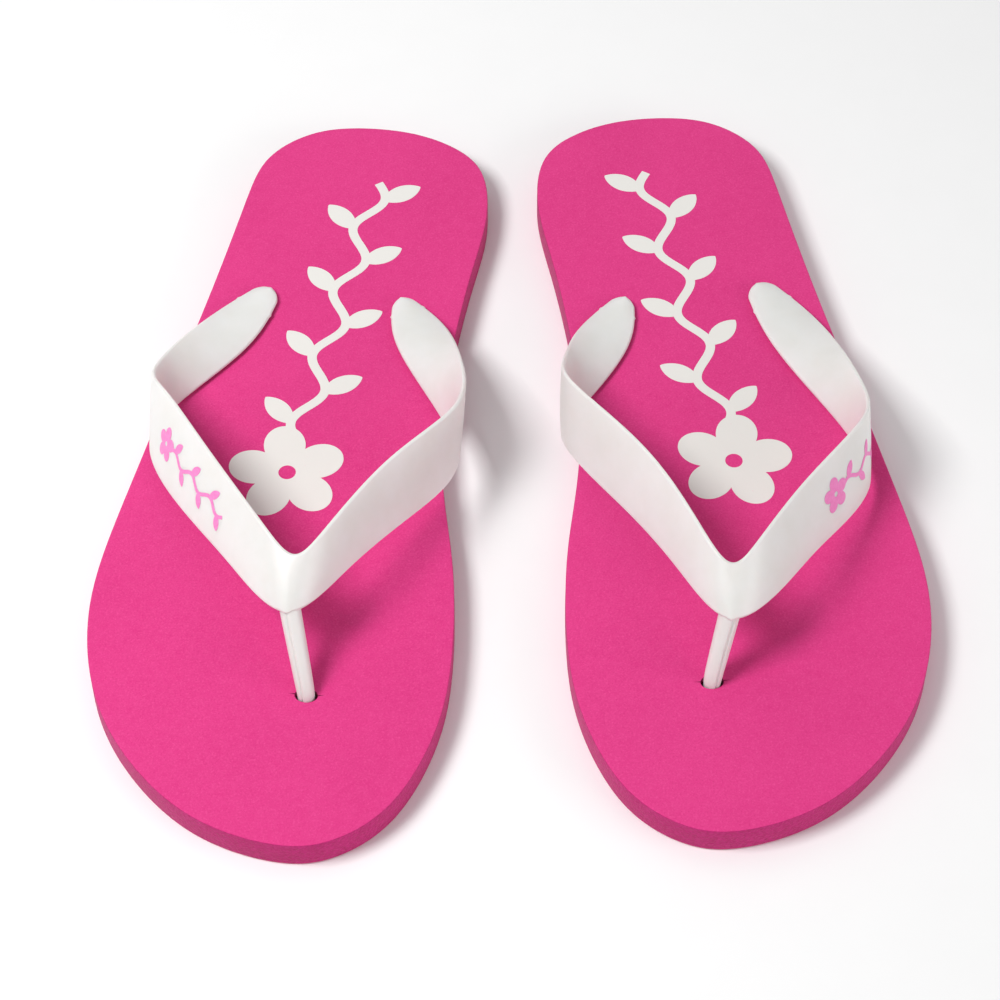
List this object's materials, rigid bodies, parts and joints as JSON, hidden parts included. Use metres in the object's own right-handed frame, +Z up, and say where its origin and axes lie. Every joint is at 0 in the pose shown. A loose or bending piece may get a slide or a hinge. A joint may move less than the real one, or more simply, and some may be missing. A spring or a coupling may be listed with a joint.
{
  "type": "pair of flip flops",
  "caption": "Thong sandals: flat foam soles with a zigzag tread, moulded V straps with toe posts and sole plugs, and a printed flower and vine.",
  "frame": {"origin": "centre of the pair's bounding box, on the ground under the treads", "axes": "+Z up, +Y from toes towards heels, +X from the right shoe towards the left shoe"},
  "size_m": [0.2368, 0.2706, 0.041],
  "materials": {
    "foam": "matte closed-cell EVA foam, solid pink",
    "strap": "satin moulded soft PVC, off-white",
    "footbed_print": "flat white screen print",
    "strap_print": "pale pink pad print"
  },
  "bodies": {
    "right_forefoot": {"right_forefoot_sole": "foam"},
    "right_heel": {"right_heel_sole": "foam", "right_strap": "strap", "right_footbed_print": "footbed_print", "right_strap_print": "strap_print"},
    "left_forefoot": {"left_forefoot_sole": "foam"},
    "left_heel": {"left_heel_sole": "foam", "left_strap": "strap", "left_footbed_print": "footbed_print", "left_strap_print": "strap_print"}
  },
  "joints": [
    {"name": "right_flex", "type": "hinge", "parent": "right_forefoot", "child": "right_heel", "pos_m": [-0.06611, -0.05643, 0.0095], "axis": [0.9936, -0.1132, 0], "range_deg": [0, 40], "stiffness_Nm_per_rad": 1.5, "deforming": ["right_strap"]},
    {"name": "left_flex", "type": "hinge", "parent": "left_forefoot", "child": "left_heel", "pos_m": [0.06618, -0.05211, 0.0095], "axis": [0.9951, 0.0993, 0], "range_deg": [0, 40], "stiffness_Nm_per_rad": 1.5, "deforming": ["left_strap"]},
    {"name": "left_shoe_lift", "type": "slide", "parent": "right_forefoot", "child": "left_forefoot", "axis": [0, 0, 1], "range_m": [0, 0.06]}
  ]
}
